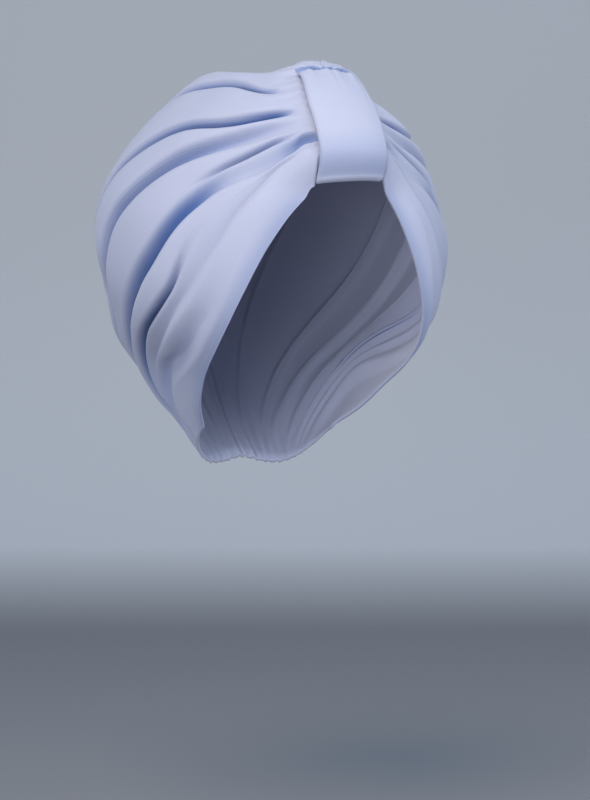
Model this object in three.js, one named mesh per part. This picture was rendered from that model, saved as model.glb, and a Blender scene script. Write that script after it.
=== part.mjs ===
// A pull-on turban headwrap of stretch jersey: one gathered wrap over the crown and a strap that
// holds the gathers at the middle of the brow.
//
// Millimetres, +Z up, the brow faces -Y and the wearer's left is +X. The origin is where the crown
// of the head meets the inside of the cloth. Every point of the cloth is found from a direction out
// of the centre of the head: the form gives how far the cloth lies that way, the layout gives how
// the cloth runs from the brow to the nape, and the folds raise or lower it.

import * as THREE from 'three';
import { mergeVertices } from 'three/addons/utils/BufferGeometryUtils.js';

// Cloth
const wrapWall = 1.6; // jersey with its turned edges
const bandWall = 2.6; // the strap is two layers
const clearance = 0.5; // between strap and wrap, measured out from the centre
const jerseyBlue = 0xc3cbe6;

// Head form
const centre = new THREE.Vector3(0, 0, -80);
const form = [
  { down: 0, front: 88, side: 88, back: 88 },
  { down: 20, front: 92, side: 88, back: 91 },
  { down: 40, front: 98, side: 88, back: 97 },
  { down: 60, front: 101, side: 88.5, back: 104 },
  { down: 80, front: 101, side: 90, back: 109 },
  { down: 100, front: 102, side: 90.5, back: 109 },
  { down: 120, front: 109, side: 91, back: 108 },
  { down: 140, front: 120, side: 93, back: 113 },
  { down: 160, front: 130, side: 112, back: 123 },
  { down: 180, front: 136, side: 136, back: 136 },
];

// The gathers stand up from the form in a ridge along the middle of the brow.
const ridge = { rise: 10, halfWidth: 32, from: 22, full: 34, fall: 70, end: 82 };

// Places where the cloth as a whole stands out from the form or sinks into it.
const swells = [
  { name: 'crown pleat', x: -33, y: -2, z: 2, rise: 5, width: 24 },
  { name: 'crown pleat on the left', x: 31, y: -2, z: 3, rise: 2.5, width: 22 },
  { name: 'saddle behind the tuck', x: -23, y: -47, z: 5, rise: -5.5, width: 16 },
  { name: 'hollow behind the ear', x: -83, y: 52, z: -103, rise: -5, width: 22 },
];

// How the cloth runs. Seen from the wearer's side, with the ear in the middle, a place is so many
// degrees back and up from the ear. Each row is a line across the cloth, from its open edge to the
// middle of the crown, which it meets at an angle up from straight back.
const layout = [
  { along: 0.0, rimBack: -88, rimUp: 23.5, crown: 124, bow: 0 },
  { along: 0.11, rimBack: -75.9, rimUp: 20.2, crown: 118, bow: 1 },
  { along: 0.16, rimBack: -74, rimUp: 9, crown: 116, bow: 2 },
  { along: 0.28, rimBack: -66, rimUp: -8, crown: 107, bow: 4 },
  { along: 0.44, rimBack: -55, rimUp: -25, crown: 90, bow: 6 },
  { along: 0.62, rimBack: -40, rimUp: -41, crown: 58, bow: 8 },
  { along: 0.8, rimBack: -20, rimUp: -57, crown: 10, bow: 6 },
  { along: 1.0, rimBack: 1, rimUp: -71, crown: -73, bow: -4 },
];

// The creases, from the open edge up to the crown. Each is followed from the band past the temple
// and the side to the back of the head and the nape: how far up the cloth it lies, and how deep.
const creaseStations = [0, 0.25, 0.5, 0.75, 1];
const creases = [
  { name: 'open edge', up: [0, 0, 0, 0, 0], depth: [2, 3, 3, 3, 1.5] },
  { name: 'edge valley', up: [0.05, 0.05, 0.065, 0.1, 0.18], depth: [0, 0, 3, 5, 1.5] },
  { name: 'top of the edge roll', up: [0.19, 0.19, 0.12, 0.16, 0.33], depth: [5, 4, 4, 5, 2] },
  { name: 'short slit', up: [0.21, 0.22, 0.15, 0.22, 0.42], depth: [4, 2, 1, 6, 2] },
  { name: 'side valley', up: [0.23, 0.275, 0.24, 0.28, 0.5], depth: [6, 5, 6, 9, 2] },
  { name: 'small pleat', up: [0.27, 0.32, 0.32, 0.35, 0.58], depth: [4, 4, 2, 1, 1] },
  { name: 'middle crease', up: [0.32, 0.395, 0.415, 0.42, 0.66], depth: [4, 5, 5, 6, 2] },
  { name: 'deep crease', up: [0.38, 0.465, 0.54, 0.55, 0.75], depth: [6, 8, 7, 6, 2] },
  { name: 'crown crease', up: [0.53, 0.64, 0.79, 0.75, 0.85], depth: [4, 7, 6, 3, 1.5] },
  { name: 'top pleat', up: [0.74, 0.81, 0.9, 0.88, 0.93], depth: [4, 3, 2, 2, 1] },
];
const creaseShare = 0.35; // how far a pleat stands out of the form, for the depth beside it
const pleatLean = 1.6; // over 1 puts a pleat's crest nearer to its upper crease
const steepest = 0.5; // the cosine of the steepest pleat side that keeps its whole thickness
const leftShift = 0.02; // the wearer's left is gathered a little differently

// The strap
const bandFrom = 38.5; // degrees down from straight up, where it comes out of the tuck
const bandFull = 56; // degrees down, where it has its whole width
const bandWidth = { tuck: 31, whole: 39 };
const bandMiddle = { tuck: 3.5, whole: 1 }; // it sits a little to the wearer's left
const bandSink = 3.6; // how far the cloth under it is drawn in
const bundleShare = 0.35; // of the folds' depth that is left under it
const bundleThick = 6; // the gathers between its two legs

// Steps of the mesh
const stepsAlong = 26;
const stepsPerPleat = 4;

const radians = THREE.MathUtils.degToRad;
const degrees = THREE.MathUtils.radToDeg;
const smoothstep = THREE.MathUtils.smoothstep;
const lerp = THREE.MathUtils.lerp;

// A smooth curve through a table's values, level at its ends where the form closes on itself.
function through(xs, ys, x, level = false) {
  const last = xs.length - 1;
  let i = 0;
  while (i < last - 1 && x > xs[i + 1]) i += 1;
  const slope = (k) => {
    if (level && (k === 0 || k === last)) return 0;
    const low = Math.max(k - 1, 0);
    const high = Math.min(k + 1, last);
    return (ys[high] - ys[low]) / (xs[high] - xs[low]);
  };
  const width = xs[i + 1] - xs[i];
  const t = (x - xs[i]) / width;
  const rise = ys[i + 1] - ys[i];
  const bend = t * (1 - t);
  const start = slope(i) * width - rise;
  const end = rise - slope(i + 1) * width;
  return ys[i] + rise * t + bend * (start * (1 - t) + end * t);
}

const column = (table, name) => table.map((row) => row[name]);

function swellAt(direction, reach) {
  const place = direction.clone().multiplyScalar(reach).add(centre);
  const share = ({ x, y, z, width }) => Math.exp(-place.distanceToSquared({ x, y, z }) / width ** 2);
  return swells.reduce((sum, swell) => sum + swell.rise * share(swell), 0);
}

// How far from the centre the form lies in a direction.
function formReach(direction) {
  const down = degrees(Math.acos(THREE.MathUtils.clamp(direction.z, -1, 1)));
  const level = Math.max(Math.hypot(direction.x, direction.y), 1e-9);
  const ahead = -direction.y / level;
  const aside = direction.x / level;
  const downs = column(form, 'down');
  const lengthwise = through(downs, column(form, ahead > 0 ? 'front' : 'back'), down, true);
  const crosswise = through(downs, column(form, 'side'), down, true);
  const square = 2 + 0.4 * smoothstep(down, 70, 120);
  const sum = (Math.abs(ahead) / lengthwise) ** square + (Math.abs(aside) / crosswise) ** square;
  const smooth = sum ** (-1 / square);
  const reach = smooth + swellAt(direction, smooth);
  if (ahead <= 0) return reach;
  const tall = smoothstep(down, ridge.from, ridge.full) * (1 - smoothstep(down, ridge.fall, ridge.end));
  const wide = Math.exp(-((Math.abs(direction.x * reach) / ridge.halfWidth) ** 3));
  return reach + ridge.rise * tall * wide;
}

// The direction of a place on the cloth: along from the brow to the nape, up from its open edge to
// the middle of the crown, on one side of the head.
function clothDirection(along, up, side) {
  const at = column(layout, 'along');
  const rim = new THREE.Vector2(
    through(at, column(layout, 'rimBack'), along),
    through(at, column(layout, 'rimUp'), along),
  );
  const angle = radians(through(at, column(layout, 'crown'), along));
  const crown = new THREE.Vector2(Math.cos(angle), Math.sin(angle)).multiplyScalar(90);
  const place = rim.clone().lerp(crown, up);
  const across = crown.clone().sub(rim).normalize();
  const bow = 4 * up * (1 - up) * through(at, column(layout, 'bow'), along);
  place.x += bow * across.y;
  place.y -= bow * across.x;
  // At the brow the line across the cloth is the middle line of the head itself.
  const first = Math.atan2(layout[0].rimUp, layout[0].rimBack);
  const last = radians(layout[0].crown);
  const arc = lerp(first, last, up);
  const chordX = lerp(Math.cos(first), Math.cos(last), up);
  const chordY = lerp(Math.sin(first), Math.sin(last), up);
  const pull = 90 * (1 - along) ** 2;
  place.x += pull * (Math.cos(arc) - chordX);
  place.y += pull * (Math.sin(arc) - chordY);
  const away = radians(along === 0 || up === 1 ? 90 : place.length());
  const turn = place.angle();
  return new THREE.Vector3(
    side * Math.cos(away),
    Math.sin(away) * Math.cos(turn),
    Math.sin(away) * Math.sin(turn),
  );
}

// How far aside a place on the strap is: across is -1 on its right edge and 1 on its left one.
function bandAside(down, across) {
  const spread = smoothstep(down, bandFrom, bandFull);
  const half = lerp(bandWidth.tuck, bandWidth.whole, spread) / 2;
  return lerp(bandMiddle.tuck, bandMiddle.whole, spread) + half * across;
}

// How strongly the strap holds the cloth down at a place: 1 beneath it, 0 clear of it.
function heldByBand(direction, reach) {
  if (direction.y > 0) return 0;
  const down = degrees(Math.acos(direction.z));
  const middle = bandAside(down, 0);
  const aside = Math.abs(direction.x * reach - middle);
  const half = bandAside(down, 1) - middle;
  return (1 - smoothstep(aside, half + 2, half + 6.5)) * smoothstep(down, bandFrom - 4, bandFrom - 1);
}

// A point of the wrap's outer face, a share t of the way across one pleat.
function wrapPoint(along, pleat, t, side) {
  const crease = (k) => ({
    up: through(creaseStations, creases[k].up, along),
    depth: through(creaseStations, creases[k].depth, along),
  });
  const low = crease(pleat);
  const onCrown = pleat === creases.length - 1;
  const high = onCrown ? { up: 1, depth: low.depth } : crease(pleat + 1);
  const shift = side * leftShift * Math.sin(Math.PI * along);
  let up = lerp(low.up, high.up, t);
  if (side > 0) up += shift * Math.sin(Math.PI * up) * Math.sin(9 * up);
  const floor = -lerp(low.depth, high.depth, t);
  const crest = onCrown ? Math.sin((Math.PI / 2) * t) : Math.sin(Math.PI * t ** pleatLean);
  const top = -creaseShare * floor;
  const free = lerp(floor, top, crest);
  const direction = clothDirection(along, up, side);
  const reach = formReach(direction);
  const tight = -bandSink + bundleShare * (free - top);
  const height = lerp(free, tight, heldByBand(direction, reach));
  return direction.multiplyScalar(reach + height).add(centre);
}

// Closes a sheet of cloth: its outer face is a grid of points, each has its place on the inner face,
// and a strip joins the two faces round the open edge.
function closeSheet(rows, innerPoint) {
  const across = rows[0].length;
  const positions = rows.flat().flatMap((point) => point.toArray());
  const faces = [];
  for (let i = 0; i + 1 < rows.length; i += 1) {
    for (let j = 0; j + 1 < across; j += 1) {
      const a = i * across + j;
      const b = a + across;
      faces.push(a, a + 1, b, b, a + 1, b + 1);
    }
  }
  const sheet = new THREE.BufferGeometry();
  sheet.setAttribute('position', new THREE.Float32BufferAttribute(positions, 3));
  sheet.setIndex(faces);
  const merged = mergeVertices(sheet, 1e-3);
  merged.computeVertexNormals();
  return thicken(merged, innerPoint);
}

function thicken(sheet, innerPoint) {
  const outer = sheet.attributes.position;
  const normal = sheet.attributes.normal;
  const count = outer.count;
  const positions = [...outer.array];
  for (let i = 0; i < count; i += 1) {
    const point = new THREE.Vector3().fromBufferAttribute(outer, i);
    const facing = new THREE.Vector3().fromBufferAttribute(normal, i);
    positions.push(...innerPoint(point, facing).toArray());
  }
  const faces = [];
  const edges = new Map();
  const index = [...sheet.index.array];
  for (let i = 0; i < index.length; i += 3) {
    const [a, b, c] = index.slice(i, i + 3);
    if (a === b || b === c || c === a) continue;
    faces.push(a, b, c, a + count, c + count, b + count);
    for (const [from, to] of [[a, b], [b, c], [c, a]]) {
      if (!edges.delete(`${to},${from}`)) edges.set(`${from},${to}`, [from, to]);
    }
  }
  for (const [from, to] of edges.values()) {
    faces.push(to, from, from + count, to, from + count, to + count);
  }
  const solid = new THREE.BufferGeometry();
  solid.setAttribute('position', new THREE.Float32BufferAttribute(positions, 3));
  solid.setIndex(faces);
  return solid;
}

// The inside of the wrap lies towards the centre, further in where a pleat's side is steep, so that
// the cloth keeps its thickness there.
function wrapInside(point, facing) {
  const outward = point.clone().sub(centre).normalize();
  return point.addScaledVector(outward, -wrapWall / Math.max(facing.dot(outward), steepest));
}

function bandInside(point, facing) {
  return point.addScaledVector(facing, -bandWall);
}

// The wrap is one sheet from its right open edge over the crown to its left one. Its first row is
// folded in two on the middle line of the brow, where both halves meet.
function wrapGeometry() {
  const rows = [];
  for (let i = 0; i <= stepsAlong; i += 1) {
    const along = (i / stepsAlong) ** 1.15;
    const half = (side) => {
      const points = [];
      creases.forEach((_, pleat) => {
        for (let k = 0; k < stepsPerPleat; k += 1) {
          points.push(wrapPoint(along, pleat, k / stepsPerPleat, side));
        }
      });
      points.push(wrapPoint(along, creases.length - 1, 1, side));
      return points;
    };
    const left = half(1).reverse();
    rows.push([...half(-1), ...left.slice(1)]);
  }
  return closeSheet(rows, wrapInside);
}

// Degrees down from straight up to the wrap's open edge, so far aside of the middle of the brow.
function openEdgeDown(aside) {
  let near = 0;
  let far = 0.2;
  for (let k = 0; k < 20; k += 1) {
    const along = (near + far) / 2;
    const direction = clothDirection(along, 0, 1);
    if (direction.x * formReach(direction) < aside) near = along;
    else far = along;
  }
  const edge = clothDirection(near, 0, 1);
  return degrees(Math.atan2(-edge.y, edge.z));
}

// The strap's outer face. It runs down over the gathers, turns under the open edge of the wrap and
// goes up inside, with the same clearance all the way.
function bandGeometry() {
  const stepsAcross = 8;
  const outside = -bandSink + clearance + bandWall;
  const inside = -bandSink - bundleThick - clearance;
  const turn = (outside - inside) / 2;
  const path = [];
  const steps = 14;
  for (let i = 0; i <= steps; i += 1) path.push([bandFrom, i / steps, outside, 0]);
  for (let i = 1; i < 8; i += 1) {
    const angle = (Math.PI * i) / 8;
    path.push([bandFrom, 1, outside - turn + turn * Math.cos(angle), turn * Math.sin(angle)]);
  }
  for (let i = steps; i >= 0; i -= 1) path.push([bandFrom + 6, i / steps, inside, 0]);
  const rows = path.map(([start, run, height, below]) => {
    const row = [];
    for (let j = 0; j <= stepsAcross; j += 1) {
      const across = lerp(-1, 1, j / stepsAcross);
      const edge = openEdgeDown(Math.abs(bandAside(bandFull, across)));
      const down = lerp(start, edge, run);
      const aside = bandAside(down, across);
      const tilt = radians(down);
      const ahead = new THREE.Vector3(0, -Math.sin(tilt), Math.cos(tilt));
      const direction = ahead.clone().setX(aside / formReach(ahead)).normalize();
      const point = direction.clone().multiplyScalar(formReach(direction) + height).add(centre);
      const downward = new THREE.Vector3(0, -Math.cos(tilt), -Math.sin(tilt));
      row.push(point.addScaledVector(downward, below));
    }
    return row;
  });
  return closeSheet(rows, bandInside);
}

function jersey() {
  return new THREE.MeshStandardMaterial({ color: jerseyBlue, roughness: 0.9, metalness: 0 });
}

function piece(name, geometry) {
  const mesh = new THREE.Mesh(geometry, jersey());
  mesh.name = name;
  return mesh;
}

const turban = new THREE.Group();
turban.add(piece('crown_wrap', wrapGeometry()));
turban.add(piece('front_band', bandGeometry()));

export default turban;
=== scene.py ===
# A pull-on turban of pale blue stretch jersey, as it keeps its form when it is worn.
# Lengths in the tables are millimetres; the meshes are in metres, in the frame's own axes.

import math

import bmesh
import bpy
import numpy as np
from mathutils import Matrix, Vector


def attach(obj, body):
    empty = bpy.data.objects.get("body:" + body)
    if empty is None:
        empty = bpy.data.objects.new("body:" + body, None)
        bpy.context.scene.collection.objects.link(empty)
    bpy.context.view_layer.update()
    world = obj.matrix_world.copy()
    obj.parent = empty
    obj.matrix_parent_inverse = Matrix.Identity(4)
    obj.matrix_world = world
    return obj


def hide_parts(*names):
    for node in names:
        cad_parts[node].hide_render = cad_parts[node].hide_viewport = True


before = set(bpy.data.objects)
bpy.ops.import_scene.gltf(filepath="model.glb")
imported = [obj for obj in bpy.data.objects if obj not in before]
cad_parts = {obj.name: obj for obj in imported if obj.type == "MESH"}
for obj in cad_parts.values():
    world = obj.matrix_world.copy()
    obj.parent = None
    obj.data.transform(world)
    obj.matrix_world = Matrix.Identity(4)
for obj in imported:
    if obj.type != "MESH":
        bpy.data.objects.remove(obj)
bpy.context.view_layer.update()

# The crown wrap
# One piece of jersey drawn over the crown and gathered at the middle of the brow. The gathers
# open into long pleats that run over the sides and close up again at the nape, and a narrow
# hem is turned in along the open edge round the face.

MM = 0.001
centre = np.array([0.0, 0.0, -80.0])

form = {
    "down": [0, 20, 40, 60, 80, 100, 120, 140, 160, 180],
    "front": [88, 92, 98, 101, 101, 102, 109, 120, 130, 136],
    "side": [88, 88, 88, 88.5, 90, 90.5, 91, 93, 112, 136],
    "back": [88, 91, 97, 104, 109, 109, 108, 113, 123, 136],
}
ridge = {"rise": 10, "half_width": 32, "start": 22, "full": 34, "fall": 70, "end": 82}

# Places where the cloth as a whole stands out from the form or sinks into it.
swells = {
    "crown pleat": {"place": (-33, -2, 2), "rise": 5, "width": 24},
    "crown pleat on the left": {"place": (31, -2, 3), "rise": 2.5, "width": 22},
    "saddle behind the tuck": {"place": (-23, -47, 5), "rise": -5.5, "width": 16},
    "hollow along the top": {"place": (-11, -19, 9), "rise": -3, "width": 15},
    "hollow behind the ear": {"place": (-80, 51, -107), "rise": -7.5, "width": 25},
    "hollow at the nape": {"place": (-42, 34, -182), "rise": -4, "width": 12},
    "hollow on the left of the strap": {"place": (43, -47, -7), "rise": -4, "width": 14},
}

layout = {
    "along": [0, 0.11, 0.16, 0.28, 0.44, 0.62, 0.8, 1],
    "rim_back": [-88, -75.9, -74, -66, -55, -40, -20, 1],
    "rim_up": [23.5, 19.8, 13.5, -6, -24, -40.5, -55.8, -70],
    "crown": [124, 118, 116, 107, 90, 58, 10, -73],
    "bow": [0, 1, 2, 4, 6, 8, 6, -4],
}

# Each crease, from the open edge up to the crown, is followed from the band to the nape through
# the stations: its place across the cloth and its depth. Above and below say how wide the slope
# of the cloth is on its two sides. Crisp and sharp shape these slopes: 1 is a line with soft
# shoulders, 2 a round trough and 3 a trough under a clear lip. Over rolls the pleat below up
# across the crease, and the last entry is how much painted shade darkens the cloth above it.
stations = [0, 0.12, 0.16, 0.2, 0.3, 0.42, 0.58, 0.76, 0.9, 1]
creases = {
    "open edge": {
        "up": [0, 0, 0, 0, 0, 0, 0, 0, 0, 0],
        "depth": [1, 2.5, 3, 3.5, 4, 4, 3.5, 3, 2.5, 2],
        "above": 11, "crisp": 1.5, "below": 5, "sharp": 1.8, "over": 0, "crease_shade": 0,
    },
    "edge valley": {
        "up": [0.08, 0.09, 0.1, 0.1, 0.09, 0.06, 0.05, 0.09, 0.26, 0.4],
        "depth": [0, 0, 0, 0, 0.1, 0.8, 3, 5, 5, 0.5],
        "above": 8, "crisp": 2, "below": 7, "sharp": 2, "over": 0, "crease_shade": 0.35,
    },
    "top of the edge roll": {
        "up": [0.12, 0.15, 0.16, 0.17, 0.16, 0.13, 0.11, 0.16, 0.34, 0.5],
        "depth": [0.5, 0.8, 1.15, 1.5, 2.5, 2.5, 3, 3, 3, 0.6],
        "above": 10, "crisp": 1.3, "below": 2.5, "sharp": 1.3, "over": 0.8, "crease_shade": 0.3,
    },
    "short slit": {
        "up": [0.16, 0.17, 0.175, 0.185, 0.2, 0.19, 0.14, 0.21, 0.38, 0.55],
        "depth": [0, 0, 0, 0, 0, 0, 5, 8, 5, 0.6],
        "above": 3, "crisp": 2.4, "below": 2.5, "sharp": 1.2, "over": 2, "crease_shade": 1,
    },
    "side valley": {
        "up": [0.19, 0.19, 0.19, 0.2, 0.25, 0.25, 0.22, 0.27, 0.45, 0.61],
        "depth": [4, 5.5, 4.5, 3, 2.8, 7, 10, 9, 5, 0.6],
        "above": 7.5, "crisp": 2.2, "below": 2.5, "sharp": 1.6, "over": 1.5, "crease_shade": 0.8,
    },
    "small pleat": {
        "up": [0.25, 0.25, 0.27, 0.29, 0.31, 0.31, 0.29, 0.32, 0.5, 0.65],
        "depth": [0.5, 1, 2.2, 4, 3.5, 0.5, 0, 0, 0, 0.5],
        "above": 2, "crisp": 1.6, "below": 2, "sharp": 1.2, "over": 1, "crease_shade": 1,
    },
    "middle crease": {
        "up": [0.3, 0.3, 0.33, 0.36, 0.4, 0.42, 0.41, 0.41, 0.56, 0.72],
        "depth": [1, 1.5, 2.5, 3.5, 5, 6.5, 7, 6.5, 4, 0.6],
        "above": 3.8, "crisp": 2.2, "below": 4.5, "sharp": 2, "over": 0, "crease_shade": 0.55,
    },
    "deep crease": {
        "up": [0.38, 0.39, 0.42, 0.44, 0.48, 0.53, 0.54, 0.54, 0.66, 0.8],
        "depth": [0, 0.5, 4.5, 8, 9, 8.5, 7, 6, 3, 0.6],
        "above": 1.8, "crisp": 2.2, "below": 2.8, "sharp": 1.5, "over": 1, "crease_shade": 1,
    },
    "crown crease": {
        "up": [0.55, 0.57, 0.58, 0.6, 0.69, 0.72, 0.73, 0.75, 0.82, 0.9],
        "depth": [0, 0, 0.3, 4, 9, 6.5, 3, 2, 1.5, 0.5],
        "above": 1.8, "crisp": 2.2, "below": 3, "sharp": 1.5, "over": 1, "crease_shade": 1,
    },
    "top pleat": {
        "up": [0.76, 0.8, 0.82, 0.84, 0.88, 0.89, 0.9, 0.88, 0.92, 0.95],
        "depth": [0, 0, 0.4, 0.8, 3, 3, 1.5, 1.5, 1, 0.4],
        "above": 10, "crisp": 2, "below": 10, "sharp": 2, "over": 0, "crease_shade": 0,
    },
}
crease_share = 0.35
left_shift = 0.02
left_share = 0.7

mm_a_degree = 1.75
lip_width = 2.5
nape_length = 300
edge_crowding = 0.72
slope_share = 0.6
slope_least = 0.3

band_from = 38.8
band_full = 56
band_width = {"tuck": 34.5, "whole": 40.6}
band_middle = {"tuck": 2.7, "whole": 1.8}
band_sink = 3.6
bundle_share = 0.35
drawn_sink = 2.4
drawn_share = 0.6
tuck_crinkle = 0.7
edge_hang = 8
edge_hang_length = 17
edge_hang_height = 14
edge_sink = 3
edge_tilt = 0.8
edge_round = 15
held_sink = 1.8
drawn_length = 28
fine_gather_length = 14

# How much painted shade darkens the cloth, from 0 to 1, along the rim and in the tuck,
# and how far it reaches.
rim_painted_shade = 0.26
rim_painted_shade_width = 6.5
tuck_painted_shade = 0.7
tuck_painted_shade_degrees = 0.5

wrap_wall = 1.5
hem_width = 3.6
hem_raise = 0.3
hem_groove = 0.2
rows_along = 120
columns_a_pleat = 20


def smoothstep(x, low, high):
    t = np.clip((x - low) / (high - low), 0, 1)
    return t * t * (3 - 2 * t)


def mix(a, b, t):
    return a + (b - a) * t


def through(xs, ys, x, level=False):
    """A smooth curve through a table's values, level at its ends where the form closes."""
    xs, ys = np.array(xs, float), np.array(ys, float)
    last = len(xs) - 1
    low = np.maximum(np.arange(last + 1) - 1, 0)
    high = np.minimum(np.arange(last + 1) + 1, last)
    slopes = (ys[high] - ys[low]) / (xs[high] - xs[low])
    if level:
        slopes[0] = slopes[last] = 0
    i = np.clip(np.searchsorted(xs, x) - 1, 0, last - 1)
    width = xs[i + 1] - xs[i]
    t = (x - xs[i]) / width
    rise = ys[i + 1] - ys[i]
    start = slopes[i] * width - rise
    end = rise - slopes[i + 1] * width
    return ys[i] + rise * t + t * (1 - t) * (start * (1 - t) + end * t)


def down_from_top(direction):
    return np.degrees(np.arccos(np.clip(direction[..., 2], -1, 1)))


def swell_at(direction, reach):
    place = centre + direction * reach[..., None]
    total = np.zeros_like(reach)
    for swell in swells.values():
        distance = np.linalg.norm(place - swell["place"], axis=-1)
        total += swell["rise"] * np.exp(-((distance / swell["width"]) ** 2))
    return total


def form_reach(direction):
    """How far from the centre the form lies in each direction."""
    down = down_from_top(direction)
    level = np.maximum(np.hypot(direction[..., 0], direction[..., 1]), 1e-9)
    ahead = -direction[..., 1] / level
    aside = direction[..., 0] / level
    front = through(form["down"], form["front"], down, True)
    back = through(form["down"], form["back"], down, True)
    crosswise = through(form["down"], form["side"], down, True)
    square = 2 + 0.4 * smoothstep(down, 70, 120)
    lengthwise = np.where(ahead > 0, front, back)
    lengthwise_part = (np.abs(ahead) / lengthwise) ** square
    crosswise_part = (np.abs(aside) / crosswise) ** square
    reach = (lengthwise_part + crosswise_part) ** (-1 / square)
    reach = reach + swell_at(direction, reach)
    tall = smoothstep(down, ridge["start"], ridge["full"])
    tall = tall * (1 - smoothstep(down, ridge["fall"], ridge["end"]))
    wide = np.exp(-((np.abs(direction[..., 0] * reach) / ridge["half_width"]) ** 3))
    return reach + np.where(ahead > 0, ridge["rise"] * tall * wide, 0)


def cloth_direction(along, up, side, slide=0.0):
    """The direction of a place on the cloth; slide moves it across the pleats, in degrees."""
    rim_x = through(layout["along"], layout["rim_back"], along)
    rim_y = through(layout["along"], layout["rim_up"], along)
    angle = np.radians(through(layout["along"], layout["crown"], along))
    crown_x, crown_y = 90 * np.cos(angle), 90 * np.sin(angle)
    length = np.hypot(crown_x - rim_x, crown_y - rim_y)
    across_x, across_y = (crown_x - rim_x) / length, (crown_y - rim_y) / length
    bow = 4 * up * (1 - up) * through(layout["along"], layout["bow"], along)
    place_x = mix(rim_x, crown_x, up) + bow * across_y
    place_y = mix(rim_y, crown_y, up) - bow * across_x
    first = math.atan2(layout["rim_up"][0], layout["rim_back"][0])
    last = math.radians(layout["crown"][0])
    arc = mix(first, last, up)
    pull = 90 * (1 - along) ** 2
    place_x += pull * (np.cos(arc) - mix(math.cos(first), math.cos(last), up))
    place_y += pull * (np.sin(arc) - mix(math.sin(first), math.sin(last), up))
    place_x += slide * across_x
    place_y += slide * across_y
    away = np.hypot(place_x, place_y)
    middle = (along <= 0) | (up >= 1)
    turn = np.arctan2(place_y, place_x)
    away = np.radians(np.where(middle, 90, away))
    sideways = np.where(middle, 0, side * np.cos(away))
    return np.stack([sideways, np.sin(away) * np.cos(turn), np.sin(away) * np.sin(turn)], -1)


def ripples(x, parts):
    """A sum of waves, each with its number of turns, its phase in turns and its height."""
    return sum(height * np.sin(2 * math.pi * (turns * x + phase)) for turns, phase, height in parts)


def band_aside(down, across):
    """Millimetres aside of a place on the band: across is -1 on its right edge and 1 on its left."""
    spread = smoothstep(down, band_from, band_full)
    half = mix(band_width["tuck"], band_width["whole"], spread) / 2
    return mix(band_middle["tuck"], band_middle["whole"], spread) + half * across


def beside_band(direction):
    """Millimetres from the nearer side edge of the band, less than nothing underneath it."""
    down = down_from_top(direction)
    sideways = direction[:, 0] * form_reach(direction)
    return np.abs(sideways - band_aside(down, 0)) - (band_aside(down, 1) - band_aside(down, 0))


def cross_length(along):
    """Millimetres across the cloth from its open edge to the middle of the crown."""
    rim_x = through(layout["along"], layout["rim_back"], along)
    rim_y = through(layout["along"], layout["rim_up"], along)
    angle = np.radians(through(layout["along"], layout["crown"], along))
    return mm_a_degree * np.hypot(90 * np.cos(angle) - rim_x, 90 * np.sin(angle) - rim_y)


def lip(distance):
    return distance / lip_width * np.exp(1 - distance / lip_width)


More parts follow.
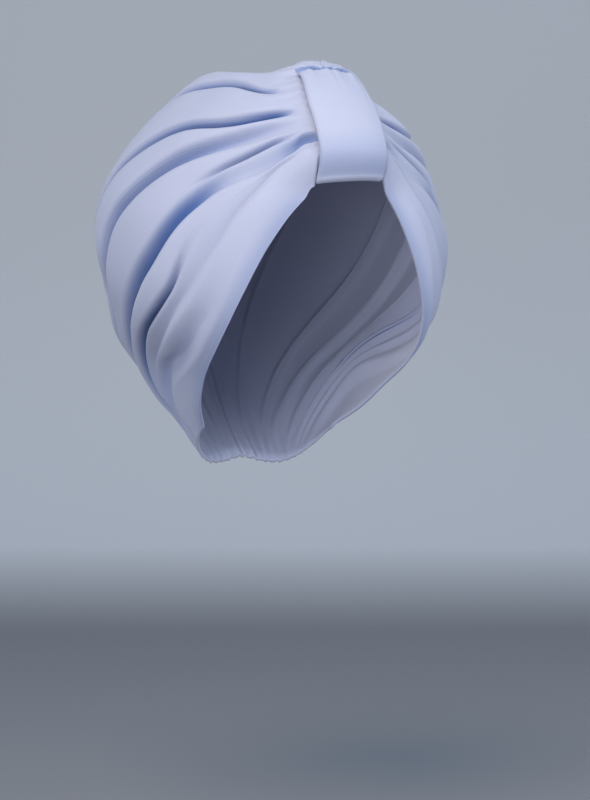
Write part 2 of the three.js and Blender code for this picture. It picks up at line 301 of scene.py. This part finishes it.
def wrap_points(along, across):
    """Places on the wrap's outer face, and the painted shade of each, from 0 to 1, that darkens
    the cloth in its creases, along the rim and in the tuck.

    Across runs from -1 at the right open edge to 1 at the left one.
    """
    side = np.where(across > 0, 1.0, -1.0)
    from_edge = 1 - np.abs(across)
    rows = list(creases.values())
    pleat = np.clip((from_edge * len(rows)).astype(int), 0, len(rows) - 1)
    t = from_edge * len(rows) - pleat
    t = mix(t, 0.5 - 0.5 * np.cos(math.pi * t), edge_crowding)
    at = np.arange(len(along))
    ups = np.array([through(stations, row["up"], along) for row in rows] + [np.ones_like(along)])
    depths = np.array([through(stations, row["depth"], along) for row in rows] + [np.zeros_like(along)])
    calmer = mix(1, left_share, smoothstep(along, 0, 0.12))
    depths = np.maximum(depths, 0) * np.where(side > 0, calmer, 1)
    crown_line = {"above": 1, "crisp": 2, "below": 1, "sharp": 2, "over": 0, "crease_shade": 0}
    column = {key: np.array([row[key] for row in [*rows, crown_line]]) for key in crown_line}
    low, high = pleat, pleat + 1
    up = mix(ups[low, at], ups[high, at], t)
    span = cross_length(along)
    from_low = np.maximum((up - ups[low, at]) * span, 0)
    from_high = np.maximum((ups[high, at] - up) * span, 0)
    # A crease's slope is never wider than the room that the pleat beside it gives.
    room = np.maximum((ups[high, at] - ups[low, at]) * span, 0)
    widest = slope_share * room + slope_least
    width_low = np.minimum(column["above"][low], widest)
    width_high = np.minimum(np.maximum(column["below"][high], 1), widest)
    valley_low = depths[low, at] * np.exp(-((from_low / width_low) ** column["crisp"][low]))
    valley_high = depths[high, at] * np.exp(-((from_high / width_high) ** column["sharp"][high]))
    share = np.clip(from_low / np.maximum(room, 1e-6), 0, 1)
    valley_low *= 1 - share**4
    valley_high *= 1 - (1 - share) ** 4
    valley = (valley_low**3 + valley_high**3) ** (1 / 3)
    swell = crease_share * mix(depths[low, at], depths[high, at], smoothstep(t, 0, 1))
    free = swell - (1 + crease_share) * valley
    opened = smoothstep(along, 0.1, 0.22) * (1 - smoothstep(along, 0.84, 1))
    roll = column["over"][high] * lip(from_high) * smoothstep(depths[high, at], 1, 5)
    slide = roll * opened / mm_a_degree
    shift = left_shift * np.sin(math.pi * along)
    up = np.where(side > 0, up + shift * np.sin(math.pi * up) * np.sin(9 * up), up)
    # The strap holds the open edge up under it. On its right the edge hangs a little lower.
    beside = beside_band(cloth_direction(along, up, side, slide))
    hanging = smoothstep(beside, -1, 2.5) * np.exp(-((np.maximum(beside, 0) / edge_hang_length) ** 2))
    hanging *= np.where(side > 0, 0, 1) * (1 - smoothstep(along, 0.22, 0.42))
    slide -= edge_hang * hanging * np.exp(-((up * span / edge_hang_height) ** 2)) / mm_a_degree
    direction = cloth_direction(along, up, side, slide)
    reach = form_reach(direction)
    # Towards the band the pleats are drawn flatter, and under its edge they are held down.
    down = down_from_top(direction)
    sideways = direction[:, 0] * reach
    beside = beside_band(direction)
    tuck = band_from + tuck_crinkle * ripples(sideways / 40, [(1.6, 0.2, 1), (3.7, 0.5, 0.6)])
    softer = 0.3 * np.maximum(beside, 0)
    front = (direction[:, 1] < 0) * smoothstep(down, tuck - 0.4 - softer, tuck + 1.4 + softer)
    drawn = (1 - smoothstep(beside, 0, drawn_length)) * front
    held = (1 - smoothstep(beside, -2.5, 0.8)) * front
    drawn_height = -drawn_sink + drawn_share * (free - swell)
    held_height = -band_sink + bundle_share * (free - swell)
    held_height -= held_sink * np.maximum(1 - up * span / edge_round, 0) ** 2
    height = mix(mix(free, drawn_height, drawn), held_height, held)
    near = np.exp(-((np.maximum(beside, 0) / fine_gather_length) ** 1.5)) * smoothstep(up, 0.3, 0.5)
    height += near * (1 - held) * ripples(up, [(15, 0.1, 0.35), (26, 0.35, 0.2)])
    lengthwise_waves = ripples(along, [(2.3, 0.1, 0.4), (5.1, 0.7, 0.2)])
    height += opened * lengthwise_waves * ripples(up, [(3.1, 0.3, 1), (1.7, 0.9, 0.8)])
    # The turned hem is a double layer, and a line of stitches draws it in along its upper side.
    hem = np.minimum(up * span, (1 - along) * nape_length)
    hem_shown = smoothstep(along, 0.45, 0.7)
    height += hem_shown * hem_raise * (1 - smoothstep(hem, hem_width - 0.6, hem_width + 0.6))
    height -= hem_shown * hem_groove * np.exp(-(((hem - hem_width) / 0.8) ** 2))
    # Painted shade: darkest on a crease's upper slope, and darker along the rim and in the tuck.
    slope_low = np.exp(-((from_low / (1.15 * width_low)) ** 4))
    slope_high = np.exp(-((from_high / 0.8) ** 2))
    shade_low = column["crease_shade"][low] * slope_low * smoothstep(depths[low, at], 1, 8)
    shade_high = column["crease_shade"][high] * slope_high * smoothstep(depths[high, at], 1, 8)
    shade_rim = rim_painted_shade * np.exp(-((up * span / rim_painted_shade_width) ** 2)) * smoothstep(along, 0.1, 0.2)
    shade_tuck = tuck_painted_shade * np.exp(-(((down - tuck) / tuck_painted_shade_degrees) ** 2))
    shade_tuck = shade_tuck * (beside < -0.5) * (direction[:, 1] < 0)
    depth = np.clip(np.max([shade_low, shade_high, shade_rim, shade_tuck], axis=0), 0, 1)
    return centre + direction * (reach + height)[:, None], depth


def finish_mesh(bm, name):
    mesh = bpy.data.meshes.new(name)
    bm.to_mesh(mesh)
    bm.free()
    for polygon in mesh.polygons:
        polygon.use_smooth = True
    piece = bpy.data.objects.new(name, mesh)
    bpy.context.scene.collection.objects.link(piece)
    return piece


columns = columns_a_pleat * len(creases) * 2
bm = bmesh.new()
grid_uv = bm.loops.layers.uv.new("cloth")
bmesh.ops.create_grid(bm, x_segments=columns, y_segments=rows_along, size=1)
flat = np.array([v.co for v in bm.verts])
along = ((flat[:, 1] + 1) / 2) ** 1.2
across = np.round(flat[:, 0], 6)
cloth_width, cloth_length = 0.36, 0.34
for face in bm.faces:
    for loop in face.loops:
        place = loop.vert.co
        loop[grid_uv].uv = (place.x * cloth_width / 2, place.y * cloth_length / 2)
outer, painted_shade_values = wrap_points(along, across)
painted_shade_layer = bm.verts.layers.float.new("painted_shade_values")
# Each vertex keeps its painted shade in a layer that the jersey material reads.
for vert, point, depth in zip(bm.verts, outer, painted_shade_values):
    vert.co = Vector(point * MM)
    vert[painted_shade_layer] = depth
bmesh.ops.remove_doubles(bm, verts=bm.verts, dist=1e-6)
bm.normal_update()
middle = Vector(centre * MM)
if sum(v.normal.dot((v.co - middle).normalized()) for v in bm.verts) < 0:
    bmesh.ops.reverse_faces(bm, faces=bm.faces)
    bm.normal_update()
inner = bmesh.ops.duplicate(bm, geom=bm.verts[:] + bm.edges[:] + bm.faces[:])
inner_faces = [g for g in inner["geom"] if isinstance(g, bmesh.types.BMFace)]
inner_verts = [g for g in inner["geom"] if isinstance(g, bmesh.types.BMVert)]
for vert in inner_verts:
    vert[painted_shade_layer] = 0
    outward = (vert.co - middle).normalized()
    vert.co -= outward * wrap_wall * MM / max(vert.normal.dot(outward), 0.6)
bmesh.ops.reverse_faces(bm, faces=inner_faces)
open_edges = [e for e in bm.edges if e.is_boundary]
bmesh.ops.bridge_loops(bm, edges=open_edges)
wrap_cloth = finish_mesh(bm, "wrap_cloth")


def jersey(name, base, shade_colour):
    """Fine knit jersey: ribs of stitches along the cloth, a soft nap and a little uneven dye.

    The colour is mixed towards a deep blue by the painted shade layer: painted shade in the folds,
    along the rim and in the tuck.
    """
    material = bpy.data.materials.new(name)
    material.use_nodes = True
    nodes, links = material.node_tree.nodes, material.node_tree.links
    shader = nodes["Principled BSDF"]
    shader.inputs["Roughness"].default_value = 0.9
    shader.inputs["Sheen Weight"].default_value = 0.2
    shader.inputs["Sheen Roughness"].default_value = 0.5
    shader.inputs["Sheen Tint"].default_value = (0.9, 0.92, 1, 1)
    shader.inputs["Specular IOR Level"].default_value = 0.2
    place = nodes.new("ShaderNodeTexCoord")
    dye = nodes.new("ShaderNodeTexNoise")
    dye.inputs["Scale"].default_value = 22
    dye.inputs["Detail"].default_value = 3
    links.new(place.outputs["Object"], dye.inputs["Vector"])
    # Painted shade: the painted shade layer, plus a little uneven dye, mixes the cloth towards the
    # shade colour.
    painted_shade_input = nodes.new("ShaderNodeAttribute")
    painted_shade_input.attribute_name = "painted_shade_values"
    dye_and_painted_shade = nodes.new("ShaderNodeMath")
    dye_and_painted_shade.operation = "MULTIPLY_ADD"
    dye_and_painted_shade.use_clamp = True
    dye_and_painted_shade.inputs[1].default_value = 0.12
    links.new(dye.outputs["Fac"], dye_and_painted_shade.inputs[0])
    links.new(painted_shade_input.outputs["Fac"], dye_and_painted_shade.inputs[2])
    tint = nodes.new("ShaderNodeMix")
    tint.data_type = "RGBA"
    tint.inputs["A"].default_value = (*base, 1)
    tint.inputs["B"].default_value = (*shade_colour, 1)
    links.new(dye_and_painted_shade.outputs["Value"], tint.inputs["Factor"])
    links.new(tint.outputs["Result"], shader.inputs["Base Color"])
    ribs = nodes.new("ShaderNodeTexWave")
    ribs.bands_direction = "X"
    ribs.inputs["Scale"].default_value = 450
    ribs.inputs["Distortion"].default_value = 1.2
    ribs.inputs["Detail"].default_value = 1
    links.new(place.outputs["UV"], ribs.inputs["Vector"])
    nap = nodes.new("ShaderNodeTexNoise")
    nap.inputs["Scale"].default_value = 900
    nap.inputs["Detail"].default_value = 4
    links.new(place.outputs["Object"], nap.inputs["Vector"])
    relief = nodes.new("ShaderNodeMath")
    relief.operation = "MULTIPLY_ADD"
    relief.inputs[1].default_value = 0.6
    links.new(ribs.outputs["Fac"], relief.inputs[0])
    links.new(nap.outputs["Fac"], relief.inputs[2])
    bump = nodes.new("ShaderNodeBump")
    bump.inputs["Strength"].default_value = 0.25
    bump.inputs["Distance"].default_value = 0.0003
    links.new(relief.outputs["Value"], bump.inputs["Height"])
    links.new(bump.outputs["Normal"], shader.inputs["Normal"])
    return material


# The second colour is the deep blue of the painted shade in folds, along the rim and in the tuck.
pale_blue = jersey("pale_blue_jersey", (0.475, 0.478, 0.585), (0.0, 0.085, 0.33))
wrap_cloth.data.materials.append(pale_blue)
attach(wrap_cloth, "root")
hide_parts("crown_wrap")

# The front band
# A strap of the same jersey folded double. Its upper end is tucked into the gathers at the
# front of the crown, it runs down over them, turns under the open edge and is sewn off inside.

band_wall = 2.6
clearance = 0.5
bundle_thick = 6
band_lift = 1.2
turn_from = math.atan(2 * edge_sink / edge_round)
outside = -band_sink + clearance + band_wall + band_lift
inside = -band_sink - bundle_thick - clearance
turn_radius = (outside - edge_sink - inside) / (1 + math.cos(turn_from))
turn_middle = inside + turn_radius
outer_share, turn_share = 0.48, 0.11
outer_length = 66
below_edge = 0.6
inner_end = 6
dive_depth = 3.5
dive_run = 4
crinkle_run = 9
# How far the painted shade of the tuck reaches along the strap, and how much painted shade darkens its
# lower end.
tuck_painted_shade_run = 1.2
end_painted_shade = 0.2
band_rows = 110
band_columns = 96


def open_edge_down(aside):
    """Degrees down from straight up to the wrap's open edge, so far aside of the middle line."""
    near, far = np.zeros_like(aside), np.full_like(aside, 0.2)
    for _ in range(20):
        half = (near + far) / 2
        direction = cloth_direction(half, np.zeros_like(half), 1.0)
        short = direction[:, 0] * form_reach(direction) < aside
        near, far = np.where(short, half, near), np.where(short, far, half)
    edge = cloth_direction(near, np.zeros_like(near), 1.0)
    return np.degrees(np.arctan2(-edge[:, 1], edge[:, 2]))


def band_points(around, run):
    """Places on the strap, and the painted shade of each, from 0 to 1, darker at the tuck and
    towards its lower end before the turn.

    Around goes round its flat section, and run goes along it from the tuck to its inner end.
    """
    # The section is a flat loop with round edges, from the middle of the outer face and back.
    round_share = band_wall / band_width["whole"]
    straight = 1 - round_share
    corner = round_share * math.pi / 2
    walked = around * (4 * straight + 2 * corner)
    bend_1 = np.clip((walked - straight) / corner, 0, 1)
    bend_2 = np.clip((walked - 3 * straight - corner) / corner, 0, 1)
    turned = math.pi * (bend_1 + bend_2)
    stops = np.cumsum([0, straight, corner, 2 * straight, corner, straight])
    across = np.interp(walked, stops, [0, straight, straight, -straight, -straight, 0])
    across = across + round_share * np.sin(turned)
    lift = -band_wall / 2 + band_wall / 2 * np.cos(turned)
    outer_run = np.clip(run / outer_share, 0, 1)
    turned_run = np.clip((run - outer_share) / turn_share, 0, 1)
    turn = mix(turn_from, math.pi, turned_run) * (run > outer_share)
    inner_run = np.clip((run - outer_share - turn_share) / (1 - outer_share - turn_share), 0, 1)
    edge = open_edge_down(0.4 * np.abs(band_aside(band_full, across))) + below_edge - edge_tilt * across
    outer_leg = mix(band_from, edge, outer_run)
    inner_leg = mix(edge, band_from + inner_end, inner_run)
    down = np.where(inner_run > 0, inner_leg, outer_leg)
    aside = band_aside(down, across)
    tilt = np.radians(down)
    direction = np.stack([np.zeros_like(tilt), -np.sin(tilt), np.cos(tilt)], -1)
    edge_reach = form_reach(direction)
    direction[:, 0] = aside / edge_reach
    direction /= np.linalg.norm(direction, axis=1)[:, None]
    # The upper end dives into the tuck, where the strap is crinkled.
    from_tuck = outer_run * outer_length
    dive = -dive_depth * (1 - smoothstep(from_tuck, 0, dive_run)) * (turn == 0)
    crinkle = ripples(aside / 42, [(3.2, 0.1, 0.6), (5.3, 0.4, 0.45), (8.6, 0.2, 0.25)])
    crinkle = crinkle * np.exp(-from_tuck / crinkle_run) * (turn == 0)
    soft = 0.35 * np.sin(aside / 8 + 1) * np.sin(outer_run * 5 + 0.5) * (turn == 0) * outer_run
    radius = turn_radius + lift
    rounding = edge_sink * np.maximum(1 - (1 - outer_run) * outer_length / edge_round, 0) ** 2
    before_turn = outside + lift - rounding + dive + crinkle + soft * (1 - outer_run)
    height = np.where(turn == 0, before_turn, turn_middle + radius * np.cos(turn))
    downward = np.stack([np.zeros_like(tilt), -np.cos(tilt), -np.sin(tilt)], -1)
    reach = form_reach(direction) + height
    onward = np.where(turn == 0, 0, radius * np.sin(turn) - turn_radius * math.sin(turn_from))
    # Painted shade: darker where the strap dives into the tuck and towards its lower end before the
    # turn.
    shade_tuck = tuck_painted_shade * np.exp(-((from_tuck / tuck_painted_shade_run) ** 2))
    shade_end = end_painted_shade * smoothstep(outer_run, 0.65, 0.95)
    shade = np.maximum(shade_tuck, shade_end) * (turn < 0.5)
    return centre + direction * reach[:, None] + downward * onward[:, None], shade


bm = bmesh.new()
band_uv = bm.loops.layers.uv.new("cloth")
bmesh.ops.create_grid(bm, x_segments=band_columns, y_segments=band_rows, size=1)
flat = np.array([v.co for v in bm.verts])
for face in bm.faces:
    for loop in face.loops:
        place = loop.vert.co
        loop[band_uv].uv = (place.x * 0.039, place.y * 0.07)
band_place, painted_shade_values = band_points((flat[:, 0] + 1) / 2, (flat[:, 1] + 1) / 2)
painted_shade_layer = bm.verts.layers.float.new("painted_shade_values")
# Each vertex keeps its painted shade in a layer that the jersey material reads.
for vert, point, depth in zip(bm.verts, band_place, painted_shade_values):
    vert.co = Vector(point * MM)
    vert[painted_shade_layer] = depth
bmesh.ops.remove_doubles(bm, verts=bm.verts, dist=1e-6)
bmesh.ops.holes_fill(bm, edges=[e for e in bm.edges if e.is_boundary], sides=0)
bmesh.ops.recalc_face_normals(bm, faces=bm.faces)
band_cloth = finish_mesh(bm, "band_cloth")
band_cloth.data.materials.append(pale_blue)
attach(band_cloth, "root")
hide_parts("front_band")

# The floor, the light and the camera
# A plain floor that curves up into a paler backdrop, one large soft light high in front, weaker
# ones low in front and on the right of the view, and the camera level with the ears.

view_turn = math.radians(25)
view_right = Vector((math.cos(view_turn), -math.sin(view_turn), 0))
view_ahead = Vector((math.sin(view_turn), math.cos(view_turn), 0))
camera_distance = 1.2
camera_aside = 0.0141
camera_height = -0.168
focal_pixels = 2208
long_side = 800

camera = bpy.data.objects.new("camera", bpy.data.cameras.new("camera"))
camera.data.sensor_width = 36
camera.data.lens = focal_pixels / long_side * camera.data.sensor_width
camera.location = -view_ahead * camera_distance + view_right * camera_aside
camera.location.z = camera_height
camera.rotation_euler = view_ahead.to_track_quat("-Z", "Y").to_euler()
bpy.context.scene.collection.objects.link(camera)
bpy.context.scene.camera = camera

floor_height = -0.42
floor_near = -1.6
floor_far = 1.2
backdrop_bend = 0.5
backdrop_side = 4
bm = bmesh.new()
bmesh.ops.create_grid(bm, x_segments=2, y_segments=60, size=1)
for vert in bm.verts:
    back = (vert.co.y + 1) * 2.5 + floor_near
    past = max(back - floor_far, 0)
    angle = min(past / backdrop_bend, math.pi / 2)
    rest = max(past - backdrop_bend * math.pi / 2, 0)
    depth = min(back, floor_far) + backdrop_bend * math.sin(angle)
    height = floor_height + backdrop_bend * (1 - math.cos(angle)) + rest
    point = view_ahead * depth + view_right * (vert.co.x * backdrop_side)
    vert.co = Vector((point.x, point.y, height))
backdrop = finish_mesh(bm, "backdrop")
paper = bpy.data.materials.new("backdrop_paper")
paper.use_nodes = True
nodes, links = paper.node_tree.nodes, paper.node_tree.links
place = nodes.new("ShaderNodeTexCoord")
apart = nodes.new("ShaderNodeSeparateXYZ")
links.new(place.outputs["Object"], apart.inputs["Vector"])
risen = nodes.new("ShaderNodeMapRange")
risen.inputs["From Min"].default_value = floor_height
risen.inputs["From Max"].default_value = floor_height + 0.075
links.new(apart.outputs["Z"], risen.inputs["Value"])
tone = nodes.new("ShaderNodeMix")
tone.data_type = "RGBA"
tone.inputs["A"].default_value = (0.26, 0.255, 0.26, 1)
tone.inputs["B"].default_value = (0.66, 0.64, 0.635, 1)
links.new(risen.outputs["Result"], tone.inputs["Factor"])
links.new(tone.outputs["Result"], nodes["Principled BSDF"].inputs["Base Color"])
nodes["Principled BSDF"].inputs["Roughness"].default_value = 0.9
backdrop.data.materials.append(paper)


def soft_light(name, aside, ahead, height, size, watts, colour):
    lamp = bpy.data.lights.new(name, "AREA")
    lamp.shape = "DISK"
    lamp.size = size
    lamp.energy = watts
    lamp.color = colour
    holder = bpy.data.objects.new(name, lamp)
    holder.location = view_right * aside + view_ahead * ahead
    holder.location.z = height
    aim = Vector((0, 0, -0.09)) - holder.location
    holder.rotation_euler = aim.to_track_quat("-Z", "Y").to_euler()
    bpy.context.scene.collection.objects.link(holder)


soft_light("key", -0.3, -1.1, 0.95, 0.8, 13.8, (1, 0.92, 0.79))
soft_light("low fill", -0.5, -1.3, -0.2, 0.9, 11.5, (0.88, 0.93, 1))
soft_light("fill", 1.2, -0.6, 0.3, 1.0, 10, (0.86, 0.93, 1))
world = bpy.data.worlds.new("studio")
world.use_nodes = True
world.node_tree.nodes["Background"].inputs["Color"].default_value = (0.5, 0.7, 1, 1)
world.node_tree.nodes["Background"].inputs["Strength"].default_value = 0.52
bpy.context.scene.world = world
bpy.context.scene.view_settings.view_transform = "Standard"
